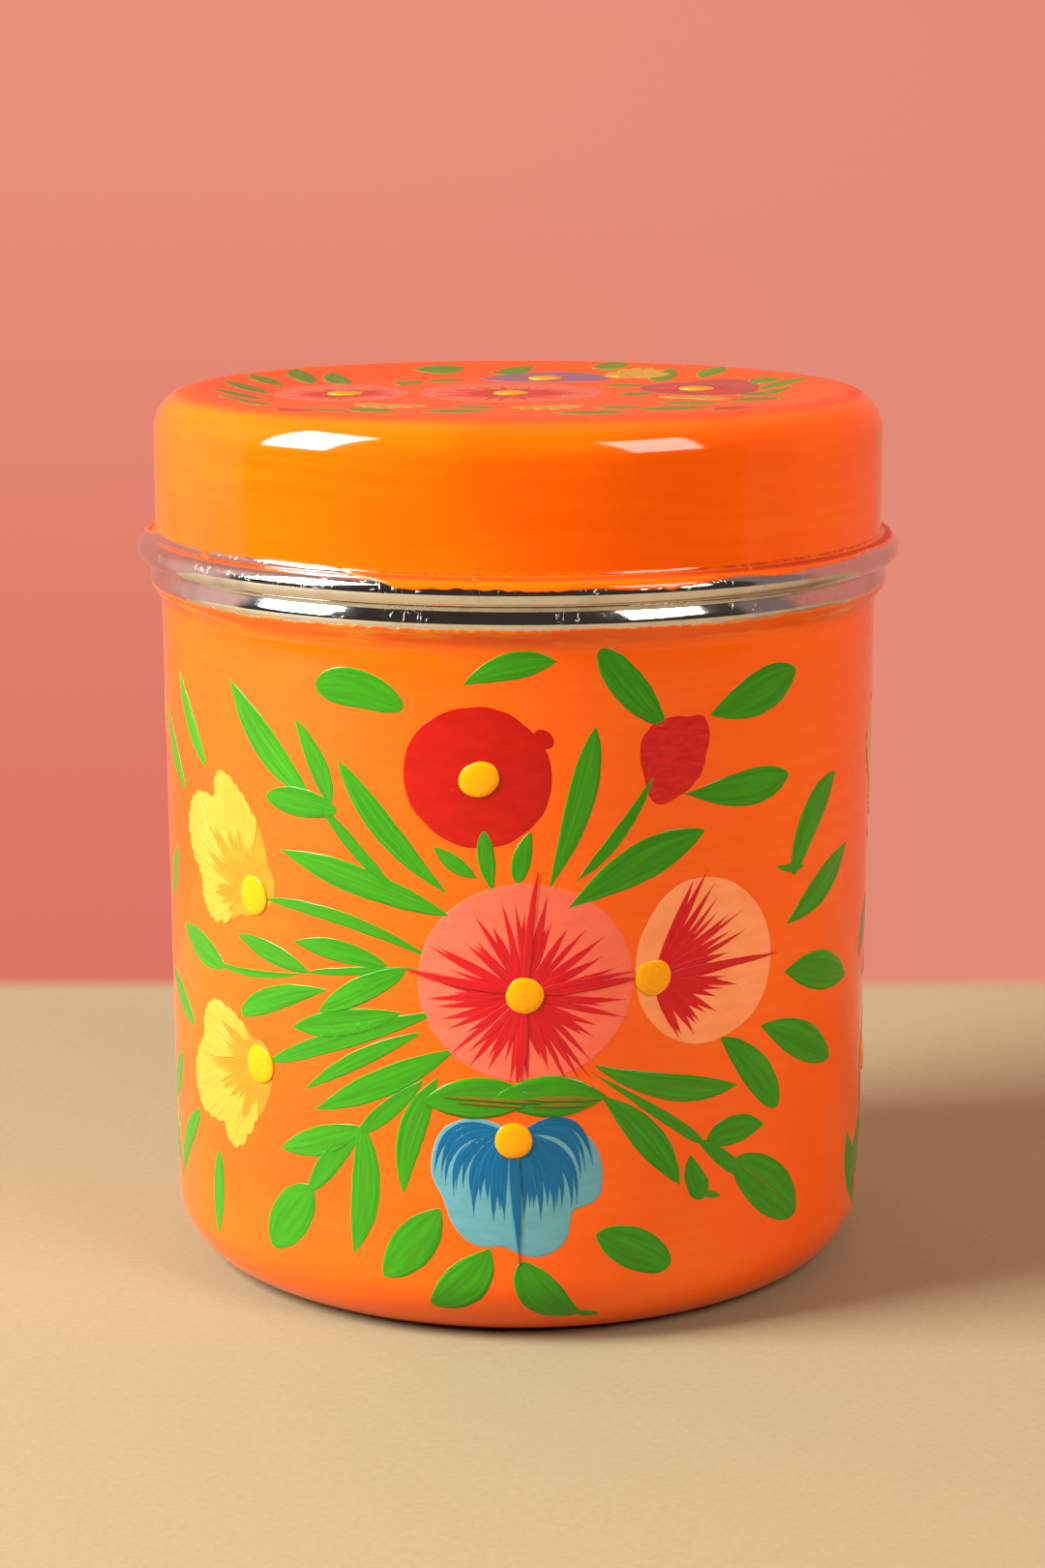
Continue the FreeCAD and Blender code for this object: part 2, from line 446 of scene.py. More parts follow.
class Relief:
    """Raised strokes of one colour, gathered into one piece."""

    layer = 0

    def __init__(self, name, skin, seed):
        self.name = name
        self.skin = skin
        self.random = random.Random(seed)
        self.points = []
        self.faces = []
        self.brush = []
        self.thin = []

    def start(self, thin, under):
        """Starts a stroke with its own seed, and gives the height of its underside."""
        self.seed = self.random.random()
        self.wear = thin
        Relief.layer += 1
        return under + LAYER * (Relief.layer % LAYERS)

    def vertex(self, place, lift, along, across):
        self.points.append(self.skin(*place, lift))
        self.brush.append((along, across, self.seed))
        self.thin.append(self.wear)
        return len(self.points) - 1

    def ribbon(self, line, widths, thickness, thin=0, under=0, ragged=0.1):
        """A stroke along line, a list of places, with its full width at each of them."""
        lift = self.start(thin, under)
        across = (-1, -0.98, -0.8, -0.4, 0, 0.4, 0.8, 0.98, 1)
        heights = (None, 0.9, 1, 0.94, 0.9, 0.94, 1, 0.9, None)
        rows = []
        ridges = [1 + 0.1 * self.random.uniform(-1, 1) for _ in across]
        for i, (place, width) in enumerate(zip(line, widths)):
            before = Vector(line[max(i - 1, 0)])
            after = Vector(line[min(i + 1, len(line) - 1)])
            way = (after - before).normalized()
            side = Vector((-way.y, way.x))
            along = i / (len(line) - 1)
            full = min(1, width / (4 * thickness)) ** 0.7
            row = []
            for v, height, ridge in zip(across, heights, ridges):
                grain = Vector((place[0] * 0.9, place[1] * 0.9, 20 * self.seed + (3 if v > 0 else 0)))
                wander = min(ragged, 0.25 * width) / max(width, 0.2) * noise.noise(grain) * 2
                where = Vector(place) + side * (width / 2 * v * (1 + wander))
                rise = -SINK if height is None else lift + thickness * height * ridge * full
                row.append(self.vertex(where, rise, along, v))
            rows.append(row)
        for a, b in zip(rows, rows[1:]):
            for k in range(len(across) - 1):
                self.faces.append((a[k], b[k], b[k + 1], a[k + 1]))
            self.faces.append((a[0], a[-1], b[-1], b[0]))
        self.faces.append(tuple(rows[0]))
        self.faces.append(tuple(rows[-1][::-1]))

    def leaf(self, base, tip, width, bow=0, peak=0.5, base_end=1, tip_end=1, thin=0.3, **look):
        """A pressed brush stroke from base to tip. bow moves its middle to the left of the way it goes,
        and peak is how far along it is widest. An end of 0.5 is round, 1 is pointed, more is drawn out."""
        count = 22
        start = Vector(base)
        way = Vector(tip) - start
        side = Vector((-way.y, way.x)).normalized()
        line = []
        widths = []
        for i in range(count + 1):
            t = (1 - cos(pi * i / count)) / 2
            line.append(tuple(start + way * t + side * (bow * 4 * t * (1 - t))))
            share, end = (t / peak, base_end) if t < peak else ((1 - t) / (1 - peak), tip_end)
            widths.append(max(0.05, width * max(0, 1 - (1 - share) ** 2) ** end))
        look.setdefault("thickness", LEAF_THICKNESS)
        self.ribbon(line, widths, thin=thin, **look)

    def hair(self, base, tip, width, bow, peak, base_end, tip_end, under=0, ragged=0.1):
        """A stroke of a thin brush."""
        look = {"thickness": SPIKE_THICKNESS, "under": under, "ragged": ragged}
        self.leaf(base, tip, width, bow, peak, base_end, tip_end, 0, **look)

    def patch(self, heart, outline, thickness, under=0, dome=0, ragged=0.12):
        """A filled shape round heart. outline(angle) is its reach in that direction, in radians."""
        lift = self.start(0, under)
        reach = max(outline(radians(a)) for a in range(0, 360, 15))
        segments = max(24, min(144, round(reach * 12)))
        steps = max(4, round(reach / 1.1))
        shares = [k / steps * 0.94 for k in range(1, steps + 1)] + [0.975, 0.993, 1]
        heart = Vector(heart)
        angles = [2 * pi * i / segments for i in range(segments)]
        outer = []
        for angle in angles:
            grain = Vector((cos(angle) * reach * 0.4, sin(angle) * reach * 0.4, 30 * self.seed))
            outer.append(outline(angle) + ragged * noise.noise(grain))

        def ring(share, rise):
            row = []
            for angle, far in zip(angles, outer):
                place = heart + Vector((cos(angle), sin(angle))) * far * share
                local = (place - heart) / reach
                row.append(self.vertex(place, rise, local.x * 1.3, local.y * 1.8))
            return row

        def join(a, b):
            for i in range(segments):
                j = (i + 1) % segments
                self.faces.append((a[i], b[i], b[j], a[j]))

        def fan(centre, row, up):
            for i in range(segments):
                j = (i + 1) % segments
                self.faces.append((centre, row[i], row[j]) if up else (centre, row[j], row[i]))

        def rise(share):
            edge = sqrt(max(0, 1 - (1 - min(1, (1 - share) * reach / 0.35)) ** 2))
            return lift + thickness * edge + dome * (1 - share**2)

        rows = [ring(share, rise(share)) for share in shares[:-1]] + [ring(1, -SINK)]
        fan(self.vertex(heart, rise(0), 0, 0), rows[0], True)
        for a, b in zip(rows, rows[1:]):
            join(a, b)
        under_rows = [rows[-1]] + [ring(share, -SINK) for share in (0.8, 0.6, 0.4, 0.2)]
        for a, b in zip(under_rows, under_rows[1:]):
            join(a, b)
        fan(self.vertex(heart, -SINK, 0, 0), under_rows[-1], False)

    def build(self, material, body, slot):
        piece = mesh_object(self.name, self.points, self.faces, material)
        brush = piece.data.attributes.new("brush", "FLOAT_VECTOR", "POINT")
        brush.data.foreach_set("vector", [value for triple in self.brush for value in triple])
        thin = piece.data.attributes.new("thin", "FLOAT", "POINT")
        thin.data.foreach_set("value", self.thin)
        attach(piece, body)


def oval(wide, high, tilt=0):
    """An ellipse's reach, with these half sizes, turned by tilt degrees."""

    def reach(angle):
        a = angle - radians(tilt)
        return wide * high / hypot(high * cos(a), wide * sin(a))

    return reach


def shape(*corners):
    """A smooth closed outline through (degrees, reach) corners, which go round anticlockwise."""

    def reach(angle):
        turn = degrees(angle) % 360
        count = len(corners)
        for i in range(count):
            low = corners[i][0]
            high = corners[(i + 1) % count][0] + (360 if i == count - 1 else 0)
            here = turn + (360 if turn < low else 0)
            if low <= here <= high:
                break
        values = [corners[(i + k) % count][1] for k in (-1, 0, 1, 2)]
        t = (here - low) / (high - low)
        a, b, c, d = values
        return b + 0.5 * t * (c - a + t * (2 * a - 5 * b + 4 * c - d + t * (3 * (b - c) + d - a)))

    return reach


def spikes(relief, heart, count, first, last, reach, width, short=0.74):
    """Hair-tipped strokes fanned out from heart between two angles in degrees. reach(angle) is the length
    of the longest, and short the share of it that the shortest may have."""
    draw = relief.random
    order = list(range(count))
    draw.shuffle(order)
    for i in order:
        angle = radians(first + (last - first) * (i + 0.5 + draw.uniform(-0.3, 0.3)) / count)
        way = Vector((cos(angle), sin(angle)))
        far = reach(angle) * draw.uniform(short, 1)
        tip = Vector(heart) + way * far + Vector((-way.y, way.x)) * draw.uniform(-0.5, 0.5)
        base = Vector(heart) + way * SPIKE_START
        size = width * draw.uniform(0.75, 1.2)
        bow = draw.uniform(-0.25, 0.25)
        relief.hair(base, tip, size, bow, 0.42, 0.7, 1.35, PETAL_THICKNESS, 0.05)


# ---- materials


class Nodes:
    """A node tree being put together. Apart from feed and node, its methods give output sockets."""

    def __init__(self, tree):
        self.tree = tree

    def feed(self, socket, value):
        """Gives a socket another node's output, or a number, vector or (red, green, blue) colour."""
        if isinstance(value, bpy.types.NodeSocket):
            self.tree.links.new(value, socket)
        else:
            socket.default_value = (*value, 1) if socket.type == "RGBA" else value

    def node(self, kind, inputs, **settings):
        made = self.tree.nodes.new("ShaderNode" + kind)
        for key, value in settings.items():
            setattr(made, key, value)
        for key, value in inputs.items():
            self.feed(made.inputs[key], value)
        return made

    def axes(self, vector):
        return self.node("SeparateXYZ", {"Vector": vector}).outputs

    def ramp(self, value, low, high, first=0, last=1):
        inputs = {"Value": value, "From Min": low, "From Max": high, "To Min": first, "To Max": last}
        return self.node("MapRange", inputs, interpolation_type="SMOOTHSTEP").outputs["Result"]

    def math(self, operation, a, b=0, *more):
        return self.node("Math", dict(enumerate((a, b, *more))), operation=operation).outputs["Value"]

    def times(self, a, b):
        return self.math("MULTIPLY", a, b)

    def away(self, a, b):
        """How far a is from b."""
        return self.math("ABSOLUTE", self.math("SUBTRACT", a, b))

    def mix(self, share, a, b):
        return self.node("Mix", {0: share, 6: a, 7: b}, data_type="RGBA").outputs[2]


class Shader(Nodes):
    """A surface material. Its places are points in the object, in metres."""

    def __init__(self, name):
        self.material = bpy.data.materials.new(name)
        self.material.use_nodes = True
        super().__init__(self.material.node_tree)
        self.surface = self.tree.nodes["Principled BSDF"]

    def set(self, **values):
        """Sets the surface's inputs, named with underscores for spaces."""
        for key, value in values.items():
            self.feed(self.surface.inputs[key.replace("_", " ")], value)

    def place(self):
        return self.node("TexCoord", {}).outputs["Object"]

    def noise(self, vector, scale, detail=2, roughness=0.5):
        """Noise of one scale, or of three scales along the axes."""
        if isinstance(scale, tuple):
            vector = self.node("Mapping", {"Vector": vector, "Scale": scale}).outputs["Vector"]
            scale = 1
        inputs = {"Vector": vector, "Scale": scale, "Detail": detail, "Roughness": roughness}
        return self.node("TexNoise", inputs).outputs["Fac"]

    def relief(self, height, depth, strength=1, below=None):
        """A bump of this depth in millimetres, on top of the bump below."""
        inputs = {"Height": height, "Distance": depth * MM, "Strength": strength}
        if below is not None:
            inputs["Normal"] = below
        return self.node("Bump", inputs).outputs["Normal"]

    def facing_up(self):
        """1 where the surface faces up, as on the lid's top, and 0 on the walls: the mask for the top's
        painted shade and its rougher gloss.
        """
        return self.ramp(self.axes(self.node("NewGeometry", {}).outputs["Normal"])["Z"], 0.8, 0.97)

    def specks(self, cell, size, share):
        """Small spots in some of the cells, which are cell mm wide; size is the spot's share of its cell."""
        cells = self.node("TexVoronoi", {"Vector": self.place(), "Scale": 1000 / cell})
        spot = self.ramp(cells.outputs["Distance"], size, size * 0.3)
        pick = self.node("SeparateColor", {"Color": cells.outputs["Color"]}).outputs["Red"]
        return self.times(spot, self.ramp(pick, share + 0.01, share))


def enamel():
    """Thick orange enamel, brushed round the wall: glossy, slightly wavy, with dust caught in it. Its colour
    carries painted shade along the crease above the lid's rim and on the lid's top.
    """
    s = Shader("orange_enamel")
    place = s.place()
    height = s.axes(place)["Z"]
    strokes = s.noise(place, (45, 45, 700), 4, 0.6)
    blotches = s.noise(place, 38, 3)
    tone = s.mix(s.ramp(strokes, 0.35, 0.7), (0.89, 0.104, 0.001), (0.91, 0.12, 0.001))
    tone = s.mix(s.ramp(blotches, 0.42, 0.75), tone, (0.86, 0.088, 0.001))
    smears = s.noise(place, (70, 70, 900), 3, 0.6)
    # Yellowish smears on the wall just under the bead
    by_bead = s.times(s.ramp(height, 93.4 * MM, 94.6 * MM), s.ramp(height, 100 * MM, 98 * MM))
    smear = s.times(by_bead, s.ramp(smears, 0.52, 0.66, 0, 0.8))
    tone = s.mix(smear, tone, (0.86, 0.25, 0.006))
    grit = s.noise(place, 900, 3)
    # Painted shade: the enamel darkens to a deep red-brown along the crease above the lid's rim, broken up
    # by grit noise
    crease = s.ramp(s.away(height, CREASE_HEIGHT * MM), 0.32 * MM, 0.05 * MM)
    crease_shade = s.times(crease, s.ramp(grit, 0.35, 0.6, 0.25, 0.85))
    tone = s.mix(crease_shade, tone, (0.36, 0.045, 0.004))
    top = s.facing_up()
    # Painted shade: the lid's top is darkened towards a deep red, for less light on it than on the walls
    tone = s.mix(s.times(top, 0.85), tone, (0.46, 0.036, 0.002))
    grains = s.times(s.specks(1.1, 0.16, 0.3), s.times(top, s.ramp(grit, 0.45, 0.6)))
    tone = s.mix(s.times(grains, 0.6), tone, (0.85, 0.62, 0.45))
    dust = s.specks(2.6, 0.045, 0.16)
    s.set(Base_Color=s.mix(s.times(dust, 0.5), tone, (0.95, 0.5, 0.28)))
    gloss = s.ramp(s.noise(place, 120, 3), 0.3, 0.8, 0.06, 0.11)
    s.set(Roughness=s.math("MAXIMUM", gloss, s.times(top, 0.42)), IOR=1.45)
    waves = s.relief(s.noise(place, (60, 60, 90), 1), 0.35, 0.35)
    brushed = s.relief(s.noise(place, (60, 60, 600), 1), 0.006, 0.5, waves)
    s.set(Normal=s.relief(dust, 0.05, 1, brushed))
    return s.material


def steel():
    """Polished stainless steel, with fine lines round it from turning, scratches and a little grime."""
    s = Shader("polished_steel")
    place = s.place()
    x, y, z = s.axes(place)
    flat = s.node("CombineXYZ", {"X": x, "Y": y}).outputs["Vector"]
    radius = s.node("VectorMath", {0: flat}, operation="LENGTH").outputs["Value"]
    rings = s.node("CombineXYZ", {"X": radius, "Y": z}).outputs["Vector"]
    lines = s.noise(rings, 5200, 3, 0.7)
    long_scratches = s.noise(place, (500, 420, 160), 2, 0.5)
    long_line = s.ramp(s.away(long_scratches, 0.5), 0.006, 0.001)
    short_scratches = s.noise(place, (700, 900, 1500), 2, 0.5)
    short_line = s.ramp(s.away(short_scratches, 0.62), 0.008, 0.001)
    where = s.ramp(s.noise(place, 210, 2), 0.46, 0.62)
    scratch = s.times(s.math("MAXIMUM", long_line, short_line), where)
    grime = s.noise(place, 150, 5, 0.65)
    s.set(Base_Color=s.mix(s.ramp(grime, 0.4, 0.75), (0.78, 0.755, 0.73), (0.62, 0.585, 0.545)))
    smooth = s.ramp(grime, 0.35, 0.8, 0.05, 0.16)
    s.set(Metallic=1, Roughness=s.math("ADD", smooth, s.times(scratch, 0.25)))
    turned_lines = s.relief(lines, 0.002, 0.35)
    s.set(Normal=s.relief(scratch, 0.005, 1, turned_lines))
    return s.material


def paint(name, light, dark, through=(0.62, 0.13, 0.006), gloss=0.16):
    """Brush paint: streaks run along each stroke, and the enamel shows through where it is thin. Strokes on
    the lid's top are darkened as painted shade.
    """
    s = Shader(name)
    along, across, seed = s.axes(s.node("Attribute", {}, attribute_name="brush").outputs["Vector"])
    inputs = {"X": s.times(along, 2.2), "Y": s.times(across, 4.5), "Z": s.times(seed, 60)}
    grain = s.node("CombineXYZ", inputs).outputs["Vector"]
    streaks = s.noise(grain, 1, 4, 0.65)
    bristles = s.noise(grain, (1, 5, 1), 3, 0.6)
    tone = s.mix(s.ramp(streaks, 0.32, 0.68), light, dark)
    own = s.math("FRACT", s.times(seed, 17.3))
    tone = s.mix(s.times(own, 0.35), tone, dark)
    thin = s.node("Attribute", {}, attribute_name="thin").outputs["Fac"]
    inside = s.ramp(s.math("ABSOLUTE", across), 0.75, 0.1)
    worn = s.times(s.ramp(s.math("ADD", streaks, s.times(bristles, 0.5)), 0.78, 0.98), inside)
    top = s.facing_up()
    # Painted shade: strokes on the lid's top are darkened towards dark brown, for less light on it than on
    # the walls
    tone = s.mix(s.times(top, 0.6), tone, (0.1, 0.035, 0.012))
    s.set(Base_Color=s.mix(s.times(worn, thin), tone, through))
    shine = s.ramp(bristles, 0.3, 0.8, gloss - 0.05, gloss + 0.08)
    s.set(Roughness=s.math("MAXIMUM", shine, s.times(top, 0.42)), IOR=1.36)
    ridges = s.relief(bristles, 0.03, 0.5)
    s.set(Normal=s.relief(s.specks(1.7, 0.05, 0.2), 0.06, 1, ridges))
    return s.material


DOT = paint("heart_yellow", (0.93, 0.36, 0.001), (0.88, 0.3, 0.001), gloss=0.12)
LEAF = paint("leaf_green", (0.05, 0.3, 0.007), (0.026, 0.19, 0.005), (0.2, 0.17, 0.008))

# Each kind of stroke: its slot and its paint
PAINTS = {
    "leaves": ("leaf_green", LEAF),
    "leaf_streaks": ("leaf_green", paint("leaf_streak", (0.26, 0.15, 0.01), (0.15, 0.14, 0.008))),
    "red_petals": ("petal_red", paint("petal_red", (0.52, 0.008, 0.004), (0.44, 0.005, 0.003))),
    "bud": ("petal_red", paint("bud_red", (0.68, 0.02, 0.014), (0.48, 0.008, 0.008))),
    "spikes": ("petal_red", paint("spike_red", (0.72, 0.014, 0.018), (0.5, 0.006, 0.012))),
    "pink_petals": ("petal_pink", paint("petal_pink", (0.86, 0.15, 0.085), (0.84, 0.125, 0.065))),
    "peach_petals": ("petal_pink", paint("petal_peach", (0.94, 0.32, 0.125), (0.92, 0.27, 0.095))),
    "rose_petals": ("petal_pink", paint("petal_rose", (0.5, 0.05, 0.07), (0.38, 0.03, 0.05))),
    "gold_petals": ("petal_yellow", paint("petal_gold", (0.78, 0.24, 0.012), (0.74, 0.18, 0.01))),
    "yellow_petals": ("petal_yellow", paint("petal_yellow", (0.62, 0.33, 0.035), (0.6, 0.29, 0.025))),
    "hearts": ("petal_yellow", DOT),
    "sky_petals": ("petal_blue", paint("petal_blue", (0.125, 0.34, 0.375), (0.112, 0.3, 0.335))),
    "blue_spikes": ("petal_blue", paint("spike_blue", (0.002, 0.14, 0.3), (0.001, 0.09, 0.21))),
    "mauve_petals": ("petal_blue", paint("petal_mauve", (0.26, 0.13, 0.22), (0.2, 0.1, 0.2))),
}


# ---- the painted flowers


class Painting:
    """The strokes on one face, one relief for each kind. The kinds' seeds follow the order of first use."""

    def __init__(self, where, skin, body, seed, *kinds):
        self.where = where
        self.skin = skin
        self.body = body
        self.seed = seed
        self.reliefs = {}
        for kind in kinds:
            self.use(kind)

    def use(self, kind):
        if kind not in self.reliefs:
            self.reliefs[kind] = Relief(f"{kind}_{self.where}", self.skin, self.seed + len(self.reliefs))
        return self.reliefs[kind]

    def petal(self, kind, place, outline, ragged=0.12):
        self.use(kind).patch(place, outline, PETAL_THICKNESS, ragged=ragged)

    def grow(self, entries, wear=(0.1, 0.3, 0.9)):
        """Leaves, each as worn as one of the shares in wear."""
        leaves = self.use("leaves")
        for x, y, tip_x, tip_y, *look in entries:
            leaves.leaf((x, y), (tip_x, tip_y), *look, thin=leaves.random.choice(wear))

    def dot(self, place, wide=2.5, high=2.4):
        half = DOT_THICKNESS * 0.5
        self.use("hearts").patch(place, oval(wide, high, 20), half, under=0.1, dome=half)

    def full_blossom(self, kind, heart, size, eye, reach, count=38):
        """A round blossom with hair-tipped strokes all round its eye."""
        self.petal(kind, heart, oval(*size))
        strokes = self.use("spikes")
        core = oval(reach * 0.2, reach * 0.2)
        strokes.patch(eye, core, SPIKE_THICKNESS * 0.6, under=PETAL_THICKNESS, ragged=0.5)
        spikes(strokes, eye, count, 0, 360, lambda angle: reach, 3.6 * reach / count, 0.62)
        self.dot(eye)

    def side_blossom(self, kind, heart, outline, eye, first, last, reach, count):
        """A blossom seen from the side: its strokes fan out from an eye at its edge."""
        self.petal(kind, heart, outline)

        def droop(angle):
            return reach * (0.8 + 0.23 * sin(angle + 0.17))

        spikes(self.use("spikes"), eye, count, first, last, droop, 1.05)
        self.dot(eye)

    def yellow_blossom(self, eye, outline, first, last):
        """A golden blossom with bright strokes pulled in from its rim towards the eye."""
        self.use("gold_petals").patch(eye, outline, PETAL_THICKNESS * 0.7)
        strokes = self.use("yellow_petals")
        draw = strokes.random
        count = 26
        for i in range(count):
            angle = radians(first + (last - first) * (i + 0.5) / count + draw.uniform(-1, 1))
            way = Vector((cos(angle), sin(angle)))
            far = outline(angle % (2 * pi)) - 0.1
            rim = Vector(eye) + way * far
            inner = Vector(eye) + way * far * draw.uniform(0.32, 0.62)
            width = 1.75 * radians(last - first) / count * far
            strokes.hair(rim, inner, width, 0, 0.22, 0.5, 1.7, 0.05, 0.05)
        self.dot(eye, 2.6, 2.7)

    def blue_blossom(self, heart, eye):
        """A scalloped pale blue blossom with deep blue strokes that bow out from its eye and hang down."""
        self.petal("sky_petals", heart, SCALLOPED)
        strokes = self.use("blue_spikes")
        draw = strokes.random
        eye_at = Vector(eye)
        count = 13
        for side in (-1, 1):
            for i in range(count):
                share = i / (count - 1)
                across = side * (10.5 - 9.4 * share + draw.uniform(-0.3, 0.3))
                down = 4.6 + 6.4 * sqrt(share) + draw.uniform(-2.2, 1.2)
                base = eye_at + Vector((0.8 * side, 0.9))
                tip = eye_at + Vector((across, -down))
                bow = side * (3.7 * (1 - share) ** 1.3 + 0.3)
                strokes.hair(base, tip, draw.uniform(0.95, 1.25), bow, 0.45, 0.6, 1.3, PETAL_THICKNESS, 0.05)
        start = eye_at + Vector((0, -1))
        strokes.hair(start, start + Vector((0.8, -16.2)), 1.5, 0, 0.2, 0.6, 1.6, 0.12)
        self.dot(eye)

    def build(self):
        for kind, relief in self.reliefs.items():
            slot, material = PAINTS[kind]
            relief.build(material, self.body, slot)


SCALLOPED = shape(
    (24, 10.8), (54, 8.6), (90, 5.4), (126, 9.3), (147, 11.6), (178, 11.7), (199, 10.6), (221, 11.3),
    (241, 11.3), (258, 10.2), (284, 11.7), (303, 11.3), (325, 9), (340, 11.1), (353, 11.4),
)
EGG = shape(
    (2, 10.1), (49, 10.1), (88, 11.3), (117, 12.2), (141, 11.7), (178, 11.4), (213, 11.6), (250, 11.3),
    (285, 10.6), (320, 10.7),
)
BUD = shape(
    (20, 5), (54, 6.1), (82, 5.2), (134, 5.8), (179, 5.4), (203, 5.4),
    (245, 6.6), (273, 5.2), (352, 4.2),
)
TULIP = shape(
    (58, 5.3), (71, 7.3), (92, 11.5), (103, 14.7), (116, 17.6), (127, 15), (138, 18), (151, 19),
    (163, 17.5), (177, 13.3), (191, 12.9), (204, 11.6), (212, 9.5), (227, 4.2), (300, 2.5),
)
LILY = shape(
    (114, 3.6), (134, 7.9), (150, 13), (164, 14.6), (177, 14.4), (188, 17), (197, 18.6), (210, 18.4),
    (220, 16), (228, 13.6), (240, 14.8), (248, 13.6), (260, 8.6), (285, 4.9), (330, 2.5),
)


# Leaves and stems: where each starts and ends, its width, and how Relief.leaf shapes it
FRONT_LEAVES = (
    # loose ones round the blossoms
    (-15, 85.5, -27.5, 87.5, 5.2, -1.3, 0.62, 0.5, 0.5), (-7, 89, 5, 92, 3.6, 0.9, 0.6),
    (10.5, 93.5, 19.5, 83, 4.6, -0.3, 0.45, 0.5, 0.8), (26, 84, 41, 88.5, 6, -0.3, 0.6, 1, 0.7),
    (22, 74, 40, 74.5, 5, -0.6, 0.65, 1.3, 0.7), (51.5, 73, 41.5, 60.5, 4.8, -1.6, 0.4, 0.8, 0.6),
    (44, 61.5, 38, 62.3, 1.2, 0.3), (40, 54, 56, 62.5, 4.6, -0.5, 0.55, 1.2),
    (57, 43.5, 40, 47.5, 5.6, -0.6, 0.5, 0.8), (35.5, 41, 52, 33, 5.4, 0.4, 0.55, 1, 0.7),
    (28.5, 40.5, 39, 29, 4.9, 0.8, 0.6, 0.9, 0.5), (10.5, 15.5, 21, 10, 5.7, 0.3, 0.5, 0.7, 0.5),
    (0.5, 12, 9, 4, 5.6, -1.6, 0.42, 0.6), (7.5, 4.5, 11.5, 3.6, 1.2, -0.2),
    (-3.8, 13.8, -12, 5.5, 6, 1.1, 0.5, 0.9, 0.7), (-10.5, 19, -18.5, 9, 6, 0.4, 0.5, 0.8, 0.7),
    (24, 25, 26.5, 18.8, 3.4, -0.6, 0.7, 0.9, 0.6), (25.5, 19.5, 29, 18.5, 1),
    # sprig to the right of the blue blossom
    (10, 38.7, 31.5, 33.5, 3.7, -1.3, 0.6), (9.5, 37.8, 26, 26.3, 1.6, 0.2, 0.8, 1.2, 0.6),
    (25, 27, 33, 20.5, 2.2, 0.1, 0.6, 0.8, 0.6), (26.5, 26.5, 36.5, 27, 4.1, 0.6, 0.45, 0.6),
    (11, 34.5, 22.5, 21, 4.3, 0.9, 0.55), (31, 23, 43.5, 12.8, 7.2, 0.4, 0.55, 0.6, 0.6),
    # sprig to its left
    (-8, 41, -28.8, 30.5, 3.9, 0.2), (-10.5, 37, -15.5, 20.5, 3.8, -1.4, 0.45),
    (-12.5, 36.5, -22, 28.2, 2.6, 0.1, 0.6, 0.9, 0.6), (-21, 29.5, -30, 19, 3.2, -0.3, 0.6, 0.8, 0.6),
    (-21.5, 29, -35, 24, 4, 0.3, 0.5, 0.7), (-21.5, 29.5, -23, 11.5, 4.4, 1.2, 0.5, 0.7, 0.9),
    (-29.5, 19.5, -37, 9.8, 6.6, -0.2, 0.5, 0.6, 0.6),
    # sprigs between the pink and the golden blossoms
    (-10.5, 52.5, -37, 58, 1.9, -1.8, 0.6, 1, 0.8), (-46, 47, -59.5, 50.3, 4.4, 0.3, 0.5, 0.9, 1.1),
    (-30, 49, -50, 47.2, 1.1, 0.8), (-13.5, 51.5, -31, 49, 1.2),
    (-29.5, 49.3, -43, 52.2, 2.9, -0.1, 0.5, 0.7), (-17.5, 51.5, -32, 53, 3, -0.5, 0.5, 0.7),
    (-26, 47.3, -42.5, 41.3, 3.5, -0.8, 0.65, 1.2, 0.5), (-15, 51, -28, 44, 3.5, -0.2, 0.5, 0.6, 0.9),
    (-15.5, 45.3, -32.5, 41.3, 3.7, 0.2, 0.55, 0.9, 0.9), (-10, 46, -36.5, 35.8, 2.8, -0.3, 0.5, 1.1, 0.5),
    (-12.5, 43, -30.5, 33, 2.4, -0.5),
    # sprig under the upper left leaves
    (-29, 73, -43.5, 87, 4.6, 0.8, 0.5, 0.7, 1.1), (-25.5, 72.5, -31, 83, 3, -0.5, 0.4, 0.6),
    (-24.5, 71.5, -36.5, 72, 4, -0.2, 0.55, 0.6, 0.8), (-27, 72, -16.5, 62, 1.9, -0.3, 0.5, 0.6, 0.8),
    (-9, 61.5, -24.3, 78.3, 3.6, 0.9, 0.6, 1.1, 0.9), (-9, 58.7, -34, 65.2, 4, -0.5, 0.55, 0.8, 1.1),
    # three short ones between the red and the pink blossom
    (-5.3, 63.8, -11, 67.8, 2.2, 0.2), (-3.3, 62.3, -4.4, 70, 2.3, 0.2, 0.55, 1, 0.5),
    (0, 63.3, 1.7, 70, 2.5, 0.3, 0.45, 0.5),
    # sprig to the right of them
    (4, 62.5, 10, 83.5, 3.7, -0.8, 0.62, 1.1, 0.8), (7.5, 63.3, 17.8, 76.5, 1.8, -0.8, 0.4, 1.1, 0.8),
    (6.5, 59.8, 25.5, 68.8, 5.3, 0.9, 0.58, 1.2, 0.9),
    # along the far left
    (-50, 74, -59, 86, 3, 0.6, 0.5, 0.6, 1.1), (-57.5, 69.5, -67, 80, 3.2, 0.6, 0.5, 0.6, 1.1),
    (-68, 52, -62, 61, 3.4, -0.3), (-56.5, 36.5, -69, 42, 3.4, -0.3, 0.45, 0.6),
    (-63, 31, -73, 22, 4, 0.8), (-55, 24.5, -66, 11.5, 3.4, -0.8, 0.45, 0.6),
    (-49, 20.3, -50, 7.8, 3, 0, 0.45, 0.5),
)

